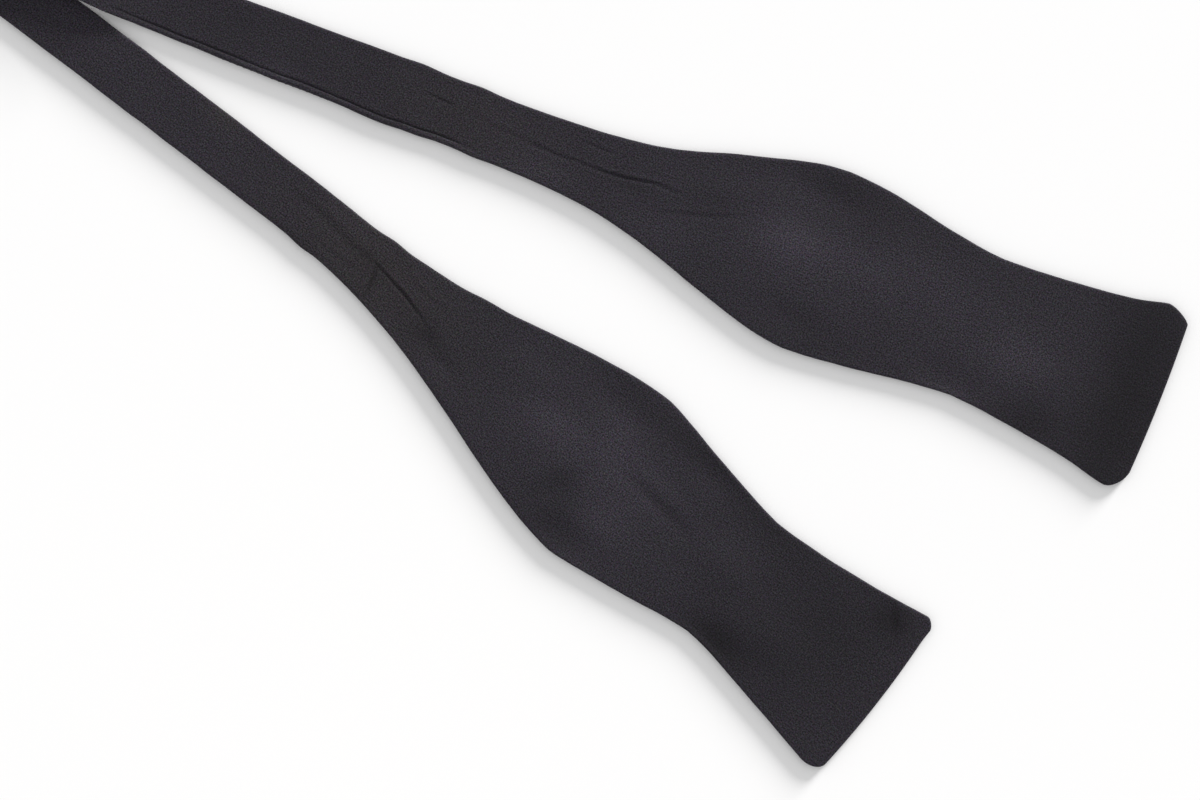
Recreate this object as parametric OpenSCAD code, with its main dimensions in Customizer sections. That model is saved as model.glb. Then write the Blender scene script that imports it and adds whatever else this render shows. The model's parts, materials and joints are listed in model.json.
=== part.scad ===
// Self-tie butterfly bow tie, untied and lying flat, with a hook-and-ring
// fastening and a sliding size adjuster at the back of the neck.
// The two legs lie in a narrow V. Units are millimetres, +Z is up,
// +X runs along the right leg and the origin is the middle of the footprint.

/* [Fabric] */
// Thickness of a finished leg: two shells with the interlining between them
leg_t = 2.2; // [2:0.1:3]
// Thickness of one shell of the face fabric
shell_t = 0.5; // [0.3:0.05:0.7]
// Width of the turned seam that closes the edge of a shell
rim_w = 0.8; // [0.5:0.1:1.2]
// Thickness of one ply of the strap and of the end loop
strap_t = 0.6; // [0.4:0.05:0.8]
// Width of the strap and of the end loop
strap_w = 20; // [18:0.5:20]

/* [Blades] */
// Width at the bulge, where the blade folds into the bow
bulge_w = 63.5; // [50:0.5:75]
// Width at the waist, which the knot grips
waist_w = 48.5; // [36:0.5:55]
// Width at the square end
end_w = 66; // [50:0.5:80]
// Radius of the two corners of the square end
corner_r = 7; // [3:0.5:12]

/* [Left leg] */
// Width of the left neckband
left_band_w = 20; // [18:0.5:22]
// Crossing of the legs to the start of the left flare
left_neck_x = 172; // [150:1:200]
// Crossing to the left bulge fold
left_fold_x = 308; // [270:1:330]
// Crossing to the left waist
left_waist_x = 361; // [345:1:380]
// Crossing to the left square end
left_end_x = 424; // [400:1:440]
// Sideways bow of the left neckband
left_bow = 6; // [0:0.5:8]

/* [Right leg] */
// Width of the right neckband
right_band_w = 22; // [20:0.5:24]
// Crossing of the legs to the start of the right flare
right_neck_x = 225; // [190:1:245]
// Crossing to the right bulge fold
right_fold_x = 332; // [300:1:350]
// Crossing to the right waist
right_waist_x = 390; // [370:1:410]
// Crossing to the right square end
right_end_x = 455; // [430:1:470]
// Sideways bow of the right neckband
right_bow = 2; // [0:0.5:3]
// Sideways drift of the right blade towards its square end
right_drift = 1.4; // [0:0.2:2]

/* [Lay] */
// Angle between the two legs
spread_deg = 17.6; // [12:0.2:18]
// Radius of the curve at the back of the left neckband
turn_r = 160; // [140:5:180]
// Ring axis to the point where the two legs cross
crossing_x = 30; // [30:0.5:36]

/* [Hardware] */
// Radius of the ring, hook and slider wire
wire_r = 0.72; // [0.6:0.02:0.76]
// Running clearance of a wire in a fabric loop
loop_gap = 0.08; // [0.04:0.01:0.1]
// Length of the ring between its two long bars
ring_l = 13; // [12.5:0.5:15]
// Distance between the centres of the ring's side bars
ring_w = 22.4; // [22.2:0.1:24]
// Height of the ring's front bar above the table
ring_rise = 4.4; // [4.4:0.1:5]
// Thickness of the hook's plate
hook_t = 0.8; // [0.6:0.05:0.9]
// Width of the hook's tongue
tongue_w = 9; // [6:0.5:12]
// Length of the hook, ring bar to strap bar
hook_l = 13; // [13:0.5:16]
// Hook's strap bar to the slider's middle bar
slider_x = 52; // [48:1:56]
// Distance of the slider's end bars from its middle bar
slider_half = 5; // [4.5:0.5:6]
// Hook's strap bar to the end of the bare strap
strap_l = 120; // [118:1:126]

/* [Hidden] */
$fn = 48;

black_satin = [0.15, 0.14, 0.155];
canvas = [0.72, 0.69, 0.62];
thread = [0.08, 0.08, 0.09];
steel = [0.75, 0.76, 0.78];

// radii of a fabric loop round a wire
bore_r = wire_r + loop_gap;
loop_r = bore_r + strap_t;
// the loop's axis sits where its upper ply meets the top of a leg
ring_z = leg_t - bore_r;
ring_tilt = asin((ring_rise - ring_z) / ring_l);
front_x = ring_l * cos(ring_tilt);
// hook: the curl runs round the ring's front bar
curl_in = wire_r + 0.1;
curl_out = curl_in + hook_t;
lip_l = 1.5;
plate_z = curl_in + hook_t / 2;
bar_x = front_x + hook_l;
bar_z = ring_rise + plate_z;
tongue_l = 7;
rail_w = 1.2;
window_l = 3.6;
side_gap = 0.4;
// strap and slider, measured from the hook's strap bar
bight_l = 4;
strap_clear = 0.3;
middle_z = bore_r - strap_clear - loop_r;
end_bar_z = loop_r + strap_clear + wire_r;
tab_l = 6;
tab_rise = 0.2;
// the strap comes off the hook level, then drops to the leg on the table
lean = 0.6;
drop_l = 32;
ramp_start = strap_l - drop_l;
// gap in the leg at a blade's fold, and the fold's axis above the leg
fold_gap = 0.3;
fold_rise = 0.2;
loop_start = 4;
tack_l = 2.3;
// stitches: thread radius, rows across the strap and rows along an edge
stitch_r = 0.18;
row_count = 12;
row_share = 0.85;
tack_share = 0.7;
edge_count = 16;
edge_pitch = 2.5;
edge_share = 0.6;
end_stitch_l = 1.8;
// start of the closing stitches, from the start of each leg
closing_start = 6;
// distance between two stations of a leg's outline
step = 4;
// how late a leg flares, how straight the bulge falls to the waist, how late it opens again
flare_late = 1.4;
waist_ease = 0.4;
end_late = 1.55;
// where a band's bow starts, peaks and how it rises and softens
left_bow_start = 25;
right_bow_start = 116;
bow_peak = 185;
bow_rise = 0.8;
bow_soft = 12;
// length over which the right blade drifts
drift_l = 120;

// A leg: band width; neck, fold, waist and end; bow, turn, start of the bow, drift
left_leg = [left_band_w, left_neck_x, left_fold_x, left_waist_x, left_end_x,
    left_bow, spread_deg, left_bow_start, 0];
right_leg = [right_band_w, right_neck_x, right_fold_x, right_waist_x, right_end_x,
    right_bow, 0, right_bow_start, right_drift];

// middle of the footprint, seen from the ring's axis
corner_y = (left_end_x - corner_r) * sin(spread_deg) + (end_w / 2 - corner_r) * cos(spread_deg) + corner_r;
middle_x = (crossing_x + right_end_x - loop_r) / 2;
middle_y = (end_w / 2 - right_drift - corner_y) / 2;

function ease(t) = t * t * (3 - 2 * t);
function mix(a, b, t) = a + (b - a) * t;

// Half width of a leg before its corners are rounded
function plain_half(leg, x) =
    x < leg[1] ? leg[0] / 2 :
    x < leg[2] ? mix(leg[0], bulge_w, ease(pow((x - leg[1]) / (leg[2] - leg[1]), flare_late))) / 2 :
    x < leg[3] ? mix(bulge_w, waist_w, slope_in((x - leg[2]) / (leg[3] - leg[2]))) / 2 :
    mix(waist_w, end_w, pow((x - leg[3]) / (leg[4] - leg[3]), end_late)) / 2;
function slope_in(t) = mix(t, ease(t), waist_ease);

// The square end's corners are quarter circles
function corner_cut(leg, x) =
    let (over = x - (leg[4] - corner_r))
    over <= 0 ? 0 : corner_r - sqrt(max(0, corner_r * corner_r - over * over));
function half(leg, x) = plain_half(leg, x) - corner_cut(leg, x);

// Sideways bow of a leg's middle line, rounded where it turns, less its drift
function sharp_bow(leg, x) =
    x <= leg[7] ? 0 :
    x < bow_peak ? leg[5] * pow((x - leg[7]) / (bow_peak - leg[7]), bow_rise) :
    leg[5] * pow(max(0, leg[4] - x) / (leg[4] - bow_peak), 2);
function drift(leg, x) = leg[8] * ease(min(1, max(0, (x - leg[4]) / drift_l + 1)));
function bow(leg, x) =
    (sharp_bow(leg, x - bow_soft) + 2 * sharp_bow(leg, x) + sharp_bow(leg, x + bow_soft)) / 4
    - drift(leg, x);

// Point and sideways direction on a leg's middle line, x from the crossing
function tangent(leg) = turn_r * tan(leg[6] / 2);
function turned(leg, x) =
    x <= -tangent(leg) ? 0 :
    x >= tangent(leg) ? leg[6] :
    leg[6] * (x + tangent(leg)) / (2 * tangent(leg));
function side(leg, x) = [sin(turned(leg, x)), cos(turned(leg, x))];
function middle(leg, x) =
    let (a = turned(leg, x), t = tangent(leg))
    x <= -t ? [x, 0] :
    x < t ? [turn_r * sin(a) - t, turn_r * cos(a) - turn_r] :
    [x * cos(a) + bow(leg, x) * sin(a), -x * sin(a) + bow(leg, x) * cos(a)];

// Stations along a leg, closer together round the end's corners
function stations(leg, x0, x1) =
    let (straight = min(x1, leg[4] - corner_r), n = ceil((straight - x0) / step))
    concat(
        [for (i = [0:n]) x0 + (straight - x0) * i / n],
        x1 > straight ? [for (a = [15:15:90]) straight + (x1 - straight) * sin(a)] : []
    );

// Flat outline of a leg from x0 to x1, drawn in by an inset
module leg_outline(leg, x0, x1, inset = 0) {
    last = x1 - (x1 >= leg[4] ? inset : 0);
    xs = stations(leg, x0, last);
    n = len(xs) - 1;
    polygon(concat(
        [for (x = xs) middle(leg, x) + side(leg, x) * (half(leg, x) - inset)],
        [for (i = [n:-1:0]) middle(leg, xs[i]) - side(leg, xs[i]) * (half(leg, xs[i]) - inset)]
    ));
}

// One shell: a skin with a turned edge that reaches the seam at mid height
module shell_tray(leg, x0, x1) {
    linear_extrude(shell_t) leg_outline(leg, x0, x1);
    linear_extrude(leg_t / 2) difference() {
        leg_outline(leg, x0, x1);
        leg_outline(leg, x0 - 1, x1 + (x1 < leg[4] ? 1 : 0), rim_w);
    }
}

module front_shell(leg, x0, x1)
    translate([0, 0, leg_t]) mirror([0, 0, 1]) shell_tray(leg, x0, x1);

module interlining(leg, x0, x1)
    translate([0, 0, shell_t])
        linear_extrude(leg_t - 2 * shell_t) leg_outline(leg, x0, x1, rim_w);

// Round bar along Y, centred
module y_bar(r, l) rotate([90, 0, 0]) cylinder(r = r, h = l, center = true);

// Profile drawn in the X-Z plane and thickened along Y, centred
module side_cut(w) rotate([90, 0, 0]) linear_extrude(w, center = true) children();

// Fabric turned round a bar on its -X side, with two straight plies
module fabric_turn(lower_l, upper_l) side_cut(strap_w) {
    difference() {
        circle(loop_r);
        circle(bore_r);
        translate([0, -loop_r - 1]) square([loop_r + 1, 2 * loop_r + 2]);
    }
    translate([0, -loop_r]) square([lower_l, strap_t]);
    translate([0, bore_r]) square([upper_l, strap_t]);
}

// Row of short thread stitches laid across the strap
module cross_stitches(length)
    for (i = [0:row_count - 1])
        translate([0, (i / (row_count - 1) - 1 / 2) * strap_w * row_share, stitch_r])
            rotate([0, 90, 0]) cylinder(r = stitch_r, h = length, $fn = 16);

// Row of small edge stitches that close the opening the leg was turned through
module edge_stitches(leg, x0)
    for (i = [0:edge_count - 1])
        let (x = x0 + closing_start + i * edge_pitch,
            p = middle(leg, x) - side(leg, x) * (half(leg, x) + stitch_r))
            translate([p[0], p[1], leg_t / 2])
                rotate([0, 0, -turned(leg, x)])
                    rotate([0, 90, 0]) cylinder(r = stitch_r, h = edge_pitch * edge_share, $fn = 16);

// Places
module on_origin() translate([-middle_x, -middle_y, 0]) children();
module on_leg() on_origin() translate([crossing_x, 0, 0]) children();
module on_ring_axis() on_origin() translate([0, 0, ring_z]) children();
module on_front_bar() on_origin() translate([front_x, 0, ring_rise]) children();
module on_strap() on_origin() translate([bar_x, 0, bar_z]) rotate([0, lean, 0]) children();
module on_slider() on_strap() translate([slider_x, 0, middle_z]) children();

left_start = loop_start - crossing_x;
right_start = bar_x + strap_l - crossing_x;
half_gap = fold_gap / 2;

module left_front_shell() color(black_satin) on_leg()
    front_shell(left_leg, left_start, left_fold_x - half_gap);
module left_back_shell() color(black_satin) on_leg()
    shell_tray(left_leg, left_start, left_fold_x - half_gap);
module left_interlining() color(canvas) on_leg()
    interlining(left_leg, left_start, left_fold_x - half_gap);
module left_end_loop() color(black_satin) on_ring_axis()
    fabric_turn(loop_start, loop_start + tack_l);
module left_loop_stitch() color(thread) on_origin()
    translate([loop_start, 0, leg_t + strap_t]) cross_stitches(tack_l * tack_share);
module left_closing_stitch() color(thread) on_leg()
    edge_stitches(left_leg, left_start);

module left_tip_front_shell() color(black_satin) on_leg()
    front_shell(left_leg, left_fold_x + half_gap, left_end_x);
module left_tip_back_shell() color(black_satin) on_leg()
    shell_tray(left_leg, left_fold_x + half_gap, left_end_x);
module left_tip_interlining() color(canvas) on_leg()
    interlining(left_leg, left_fold_x + half_gap, left_end_x);

// Rectangular wire ring, its rear bar in the left end loop
module ring() color(steel) on_ring_axis() rotate([0, -ring_tilt, 0]) {
    for (x = [0, ring_l]) translate([x, 0, 0]) y_bar(wire_r, ring_w);
    for (y = [-1, 1]) translate([0, y * ring_w / 2, 0]) {
        rotate([0, 90, 0]) cylinder(r = wire_r, h = ring_l);
        for (x = [0, ring_l]) translate([x, 0, 0]) sphere(wire_r);
    }
}

// Stamped hook: a curled tongue in front, a framed window with a round bar behind
module hook() color(steel) on_front_bar() {
    side_cut(tongue_w) {
        difference() {
            circle(curl_out);
            circle(curl_in);
            translate([0, -curl_out - 1]) square([curl_out + 1, 2 * curl_out + 2]);
        }
        translate([0, -curl_out]) square([lip_l, hook_t]);
        translate([0, curl_in]) square([tongue_l + 1, hook_t]);
    }
    frame_w = strap_w + 2 * (side_gap + rail_w);
    translate([tongue_l, 0, curl_in]) difference() {
        translate([0, -frame_w / 2, 0]) cube([hook_l - tongue_l, frame_w, hook_t]);
        translate([hook_l - tongue_l - window_l, -frame_w / 2 + rail_w, -1])
            cube([window_l + 1, frame_w - 2 * rail_w, hook_t + 2]);
    }
    translate([hook_l, 0, plate_z]) y_bar(wire_r, frame_w);
}

// Strap: turned round the hook's bar, back to the slider, and out to the leg
module strap_bight() color(black_satin) on_strap() fabric_turn(bight_l, bight_l);
module strap_return_ply() color(black_satin) on_strap() side_cut(strap_w)
    polygon([
        [bight_l, -loop_r], [slider_x, middle_z - loop_r],
        [slider_x, middle_z - bore_r], [bight_l, -bore_r],
    ]);
module strap_running_ply() color(black_satin) on_origin() translate([bar_x, 0, bar_z])
    side_cut(strap_w) rotate(-lean) {
        mid_z = bore_r + strap_t / 2;
        end = [strap_l, (leg_t / 2 - bar_z) / cos(lean) + strap_l * tan(lean)];
        polygon([
            [bight_l, bore_r], [ramp_start, bore_r],
            [end[0], end[1] - strap_t / 2], [end[0], end[1] + strap_t / 2],
            [ramp_start, mid_z + strap_t / 2], [bight_l, mid_z + strap_t / 2],
        ]);
    }

// Slider: two end bars over the strap, a middle bar under it, cheeks at the sides
module slider() color(steel) on_slider() {
    top = end_bar_z - middle_z;
    cheek_w = 1.2;
    span = strap_w + 2 * (side_gap + cheek_w);
    y_bar(wire_r, span);
    for (x = [-slider_half, slider_half]) translate([x, 0, top]) y_bar(wire_r, span);
    for (y = [-1, 1]) translate([0, y * (span - cheek_w) / 2, 0]) side_cut(cheek_w) {
        polygon([
            [-slider_half, top - wire_r], [slider_half, top - wire_r],
            [slider_half, top + wire_r], [-slider_half, top + wire_r],
        ]);
        polygon([
            [-wire_r, 0], [wire_r, 0],
            [slider_half, top], [-slider_half, top],
        ]);
        circle(wire_r);
        for (x = [-slider_half, slider_half]) translate([x, top]) circle(wire_r);
    }
}

// The strap's end goes up round the middle bar and is sewn down behind it
tab_z = tab_rise - bore_r;
module strap_end_loop() color(black_satin) on_slider() side_cut(strap_w) {
    difference() {
        circle(loop_r);
        circle(bore_r);
        translate([-loop_r - 1, -loop_r - 1]) square([loop_r + 1, 2 * loop_r + 2]);
    }
    polygon([
        [0, loop_r], [-tab_l, tab_z + strap_t],
        [-tab_l, tab_z], [-1, bore_r - 0.05], [0, bore_r],
    ]);
}
module strap_end_stitch() color(thread) on_slider()
    translate([-tab_l, 0, tab_z + strap_t])
        rotate([0, -atan((loop_r - tab_z - strap_t) / tab_l), 0])
            translate([stitch_r, 0, 0]) cross_stitches(end_stitch_l);

module right_front_shell() color(black_satin) on_leg()
    front_shell(right_leg, right_start, right_fold_x - half_gap);
module right_back_shell() color(black_satin) on_leg()
    shell_tray(right_leg, right_start, right_fold_x - half_gap);
module right_interlining() color(canvas) on_leg()
    interlining(right_leg, right_start, right_fold_x - half_gap);
module right_closing_stitch() color(thread) on_leg()
    edge_stitches(right_leg, right_start);

module right_tip_front_shell() color(black_satin) on_leg()
    front_shell(right_leg, right_fold_x + half_gap, right_end_x);
module right_tip_back_shell() color(black_satin) on_leg()
    shell_tray(right_leg, right_fold_x + half_gap, right_end_x);
module right_tip_interlining() color(canvas) on_leg()
    interlining(right_leg, right_fold_x + half_gap, right_end_x);

left_front_shell();
left_back_shell();
left_interlining();
left_end_loop();
left_loop_stitch();
left_closing_stitch();
left_tip_front_shell();
left_tip_back_shell();
left_tip_interlining();
ring();
hook();
strap_bight();
strap_return_ply();
strap_running_ply();
slider();
strap_end_loop();
strap_end_stitch();
right_front_shell();
right_back_shell();
right_interlining();
right_closing_stitch();
right_tip_front_shell();
right_tip_back_shell();
right_tip_interlining();
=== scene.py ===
"""Self-tie butterfly bow tie, untied and lying flat: its cloth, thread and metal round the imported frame."""

from __future__ import annotations

import json  # noqa: E402
import logging  # noqa: E402
import math  # noqa: E402
from dataclasses import dataclass, field  # noqa: E402
from enum import Enum  # noqa: E402

import bpy  # noqa: E402
import numpy as np  # noqa: E402
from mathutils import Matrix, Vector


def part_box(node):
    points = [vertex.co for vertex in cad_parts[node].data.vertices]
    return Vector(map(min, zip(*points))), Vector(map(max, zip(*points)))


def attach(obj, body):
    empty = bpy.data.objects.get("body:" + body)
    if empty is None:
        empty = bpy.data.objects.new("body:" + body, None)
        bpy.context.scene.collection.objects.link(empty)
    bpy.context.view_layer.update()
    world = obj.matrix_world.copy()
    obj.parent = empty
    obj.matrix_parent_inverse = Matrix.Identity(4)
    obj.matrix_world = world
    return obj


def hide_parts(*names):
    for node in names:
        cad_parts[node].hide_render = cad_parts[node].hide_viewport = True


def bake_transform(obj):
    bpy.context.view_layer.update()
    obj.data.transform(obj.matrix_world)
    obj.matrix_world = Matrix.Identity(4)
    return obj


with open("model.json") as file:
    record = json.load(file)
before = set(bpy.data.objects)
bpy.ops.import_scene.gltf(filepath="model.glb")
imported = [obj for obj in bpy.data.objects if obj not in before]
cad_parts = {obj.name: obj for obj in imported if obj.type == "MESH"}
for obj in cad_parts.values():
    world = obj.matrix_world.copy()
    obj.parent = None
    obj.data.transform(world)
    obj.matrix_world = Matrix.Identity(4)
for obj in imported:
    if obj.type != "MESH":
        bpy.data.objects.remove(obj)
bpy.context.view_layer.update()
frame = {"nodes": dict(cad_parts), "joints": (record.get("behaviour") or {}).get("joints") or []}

Socket = bpy.types.NodeSocket
Material = bpy.types.Material
Object = bpy.types.Object
Array = np.ndarray

LOG = logging.getLogger("bow_tie")
MM = 0.001
FAR = 1e3

# Lengths in the classes are millimetres; meshes are written in metres.


class Hold(Enum):
    """How a declared sheet is held."""

    LAID = "laid"
    FOLDED = "folded"


# ---------------------------------------------------------------- small maths


def ease(t: Array | float) -> Array:
    """Return the smooth step of t, held between 0 and 1."""
    held = np.clip(t, 0.0, 1.0)
    return held * held * (3.0 - 2.0 * held)


def between(a: float, b: float, t: Array | float) -> Array:
    """Return the value t of the way from a to b."""
    return a + (b - a) * t


def lattice(x: Array, y: Array, size: float, seed: int) -> Array:
    """Smooth random field over the cloth.

    Args:
        x: Distances along the leg.
        y: Distances across the leg.
        size: Distance between two lattice points.
        seed: Seed of the random draws.

    Returns:
        Values between -1 and 1, the shape of x.
    """
    draws = np.random.default_rng(seed).uniform(-1.0, 1.0, (64, 64))
    u = np.asarray(x, float) / size + 17.3
    v = np.asarray(y, float) / size + 23.7
    i = np.floor(u).astype(int)
    j = np.floor(v).astype(int)
    fu = ease(u - i)
    fv = ease(v - j)
    a = draws[i % 64, j % 64]
    b = draws[(i + 1) % 64, j % 64]
    c = draws[i % 64, (j + 1) % 64]
    d = draws[(i + 1) % 64, (j + 1) % 64]
    return (a + (b - a) * fu) * (1 - fv) + (c + (d - c) * fu) * fv


def rows(kind: type, *entries: tuple) -> tuple:
    """Return one object of a kind for each entry of a table."""
    return tuple(kind(*entry) for entry in entries)


def add_object(name: str, mesh: bpy.types.Mesh, material: Material) -> Object:
    """Put a finished mesh into the scene with its material.

    Args:
        name: Name of the object.
        mesh: Its mesh.
        material: Its finish.

    Returns:
        The new object.
    """
    mesh.materials.append(material)
    made = bpy.data.objects.new(name, mesh)
    bpy.context.scene.collection.objects.link(made)
    return made


# ---------------------------------------------------------------- finishes


class Recipe:
    """Node tree of one finish, written with short calls."""

    darkest_fleck = 0.1

    def __init__(self, name: str) -> None:
        """Start an empty node material.

        Args:
            name: Name of the material.
        """
        self.material = bpy.data.materials.new(name)
        self.material.use_nodes = True
        self.tree = self.material.node_tree
        self.tree.nodes.clear()
        self.shader = self.node("BsdfPrincipled")
        output = self.node("OutputMaterial")
        self.link(self.shader.outputs["BSDF"], output.inputs["Surface"])

    def node(self, kind: str, **settings: object) -> bpy.types.Node:
        """Add a node of a kind and set its own properties.

        Args:
            kind: Kind of node.
            settings: Properties of the node.

        Returns:
            The node.
        """
        made = self.tree.nodes.new(f"ShaderNode{kind}")
        for key, value in settings.items():
            setattr(made, key, value)
        return made

    def link(self, source: Socket, target: Socket) -> None:
        """Join two sockets."""
        self.tree.links.new(source, target)

    def feed(self, target: Socket, value: object) -> None:
        """Give a socket a constant or the output of another node.

        Args:
            target: Input socket.
            value: Constant or output socket.
        """
        if isinstance(value, Socket):
            self.link(value, target)
        else:
            target.default_value = value

    def surface(self, **values: object) -> None:
        """Give the shader's sockets their values, with spaces for the names' underlines."""
        for name, value in values.items():
            self.feed(self.shader.inputs[name.replace("_", " ")], value)

    def fit(self, value: object, scale: object, offset: object) -> Socket:
        """Return value times scale plus offset."""
        return self.sum("MULTIPLY_ADD", value, scale, offset)

    def sum(self, operation: str, a: object, b: object = 0.0, c: object = 0.0) -> Socket:
        """Return the output of a math node.

        Args:
            operation: Name of the math operation.
            a: First term, a number or a socket.
            b: Second term.
            c: Third term.

        Returns:
            The node's output socket.
        """
        made = self.node("Math", operation=operation)
        for socket, value in zip(made.inputs, (a, b, c)):
            self.feed(socket, value)
        return made.outputs[0]

    def threads(self, vector: Socket, turns: float) -> tuple[Socket, Socket, Socket]:
        """Return waves of the warp and of the weft, and the sum of both coordinates.

        Args:
            vector: Coordinates in metres.
            turns: Wave turns for each metre.

        Returns:
            The warp, the weft and the sum.
        """
        parts = self.node("SeparateXYZ")
        self.link(vector, parts.inputs[0])
        x, y = parts.outputs[0], parts.outputs[1]
        warp = self.sum("SINE", self.sum("MULTIPLY", x, turns))
        weft = self.sum("SINE", self.sum("MULTIPLY", y, turns))
        return warp, weft, self.sum("ADD", x, y)

    def noise(self, vector: Socket, size: float, detail: float = 2.0) -> Socket:
        """Return a noise between about 0 and 1.

        Args:
            vector: Coordinates in metres.
            size: Size of one patch, in metres.
            detail: Layers of finer noise.

        Returns:
            The noise's value socket.
        """
        return self._noise_node(vector, size, detail).outputs[0]

    def _noise_node(self, vector: Socket, size: float, detail: float) -> bpy.types.Node:
        """Return a noise node with patches of a size in metres.

        Args:
            vector: Coordinates in metres.
            size: Size of one patch, in metres.
            detail: Layers of finer noise.

        Returns:
            The noise node.
        """
        made = self.node("TexNoise")
        self.link(vector, made.inputs["Vector"])
        self.feed(made.inputs["Scale"], 1.0 / size)
        self.feed(made.inputs["Detail"], detail)
        return made

    def turned(self, vector: Socket, degrees: float, stretch: float = 1.0) -> Socket:
        """Return coordinates turned about Z and stretched along their first axis.

        Args:
            vector: Coordinates in metres.
            degrees: Angle of the turn.
            stretch: Scale of the first axis.

        Returns:
            The turned coordinates.
        """
        made = self.node("Mapping")
        self.link(vector, made.inputs["Vector"])
        made.inputs["Rotation"].default_value = (0.0, 0.0, math.radians(degrees))
        made.inputs["Scale"].default_value = (stretch, 1.0, 1.0)
        return made.outputs[0]

    def ramp(self, value: Socket, low: tuple, high: tuple) -> Socket:
        """Return a colour between low and high.

        Args:
            value: Share of the second colour.
            low: Colour at 0.
            high: Colour at 1.

        Returns:
            The mixed colour.
        """
        made = self.node("Mix", data_type="RGBA")
        self.link(value, made.inputs["Factor"])
        self.feed(made.inputs[6], (*low, 1.0))
        self.feed(made.inputs[7], (*high, 1.0))
        return made.outputs[2]

    def scaled(self, colour: Socket, factor: Socket) -> Socket:
        """Return a colour made lighter or darker by a factor.

        Args:
            colour: Colour to change.
            factor: Factor for the whole colour.

        Returns:
            The scaled colour.
        """
        made = self.node("VectorMath", operation="SCALE")
        self.link(colour, made.inputs[0])
        self.link(factor, made.inputs["Scale"])
        return made.outputs[0]

    def tinted(
        self, colour: Socket, vector: Socket, size: float, amount: float
    ) -> Socket:
        """Return a colour flecked with small grains of slightly different hue.

        Args:
            colour: Colour to fleck.
            vector: Coordinates in metres.
            size: Size of a grain, in metres.
            amount: Strength of the flecks.

        Returns:
            The flecked colour.
        """
        grains = self._noise_node(vector, size, 1.0).outputs["Color"]
        rest = 1.0 - amount / 2.0
        spread = self.vector("MULTIPLY_ADD", grains, (amount,) * 3, (rest,) * 3)
        floor = self.vector("MAXIMUM", spread, (self.darkest_fleck,) * 3)
        return self.vector("MULTIPLY", colour, floor)

    def vector(self, operation: str, *terms: object) -> Socket:
        """Return the output of a vector math node.

        Args:
            operation: Name of the operation.
            terms: Numbers, tuples or sockets.

        Returns:
            The node's output socket.
        """
        made = self.node("VectorMath", operation=operation)
        for socket, value in zip(made.inputs, terms):
            self.feed(socket, value)
        return made.outputs[0]

    def bump(self, height: Socket, distance: float, strength: float) -> None:
        """Roughen the surface by a height, after any bump already there.

        Args:
            height: Height between 0 and 1.
            distance: Real height of 1, in metres.
            strength: Share of the effect.
        """
        made = self.node("Bump")
        made.inputs["Distance"].default_value = distance
        made.inputs["Strength"].default_value = strength
        self.link(height, made.inputs["Height"])
        held = self.shader.inputs["Normal"]
        if held.is_linked:
            self.link(held.links[0].from_socket, made.inputs["Normal"])
        self.link(made.outputs[0], held)


@dataclass(frozen=True)
class FaceCloth:
    """Black twill of the faces, cut on the bias, with a soft nap."""

    name: str = "face_cloth"
    slot: str = "face_cloth"
    cool: tuple[float, float, float] = (0.0192, 0.0168, 0.0226)
    warm: tuple[float, float, float] = (0.0202, 0.0178, 0.0196)
    grain_deg: float = 47.0
    thread: float = 0.00034
    speckle: float = 0.0005
    patch: float = 0.038
    contrast: float = 6.1
    fleck: float = 1.35
    twill: float = 4.0
    slub_share: float = 0.6
    tone_share: float = 0.4
    shade_share: float = 1.3
    darkest: float = 0.12
    sheen: float = 0.06
    roughness: float = 0.78

    def make(self) -> Material:
        """Build the cloth's material.

        Returns:
            The node material.
        """
        mix = Recipe(self.name)
        uv = mix.node("UVMap", uv_map="cloth").outputs[0]
        turns = 2.0 * math.pi / self.thread
        warp, weft, slope = mix.threads(mix.turned(uv, self.grain_deg), turns)
        rib = mix.sum("SINE", mix.sum("MULTIPLY", slope, turns / self.twill))
        over = mix.fit(rib, 0.5, 0.5)
        under = mix.sum("SUBTRACT", 1.0, over)
        weave = mix.sum("ADD", mix.sum("MULTIPLY", warp, over), mix.sum("MULTIPLY", weft, under))
        height = mix.fit(weave, 0.5, 0.5)
        speckle = mix.noise(uv, self.speckle, 3.0)
        slub = mix.noise(mix.turned(uv, self.grain_deg, 0.14), self.speckle * 0.8, 1.0)
        tone = mix.noise(uv, self.patch, 2.0)
        warmth = mix.node("Attribute", attribute_name="warmth").outputs["Fac"]
        # The shade attribute carries painted shade and painted highlight from creases, seam, border and
        # patches, and scales the cloth's brightness.
        shade = mix.node("Attribute", attribute_name="shade").outputs["Fac"]
        light = mix.fit(speckle, self.contrast, 0.5 - self.contrast / 2.0)
        light = mix.fit(slub, self.slub_share, light)
        light = mix.fit(tone, self.tone_share, light)
        painted_shading = mix.fit(shade, self.shade_share, 1.0 - self.shade_share / 2.0)
        light = mix.sum("MULTIPLY", mix.sum("MAXIMUM", light, self.darkest), painted_shading)
        colour = mix.tinted(mix.ramp(warmth, self.cool, self.warm), uv, self.speckle * 0.9, self.fleck)
        mix.surface(
            Base_Color=mix.scaled(colour, light), Roughness=mix.fit(speckle, 0.12, self.roughness - 0.06),
            Specular_IOR_Level=0.15, Sheen_Weight=self.sheen, Sheen_Roughness=0.55,
            Sheen_Tint=(0.75, 0.72, 0.78, 1.0),
        )
        mix.bump(height, 0.00005, 0.55)
        mix.bump(speckle, 0.00012, 0.5)
        mix.bump(slub, 0.00008, 0.35)
        return mix.material


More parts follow.
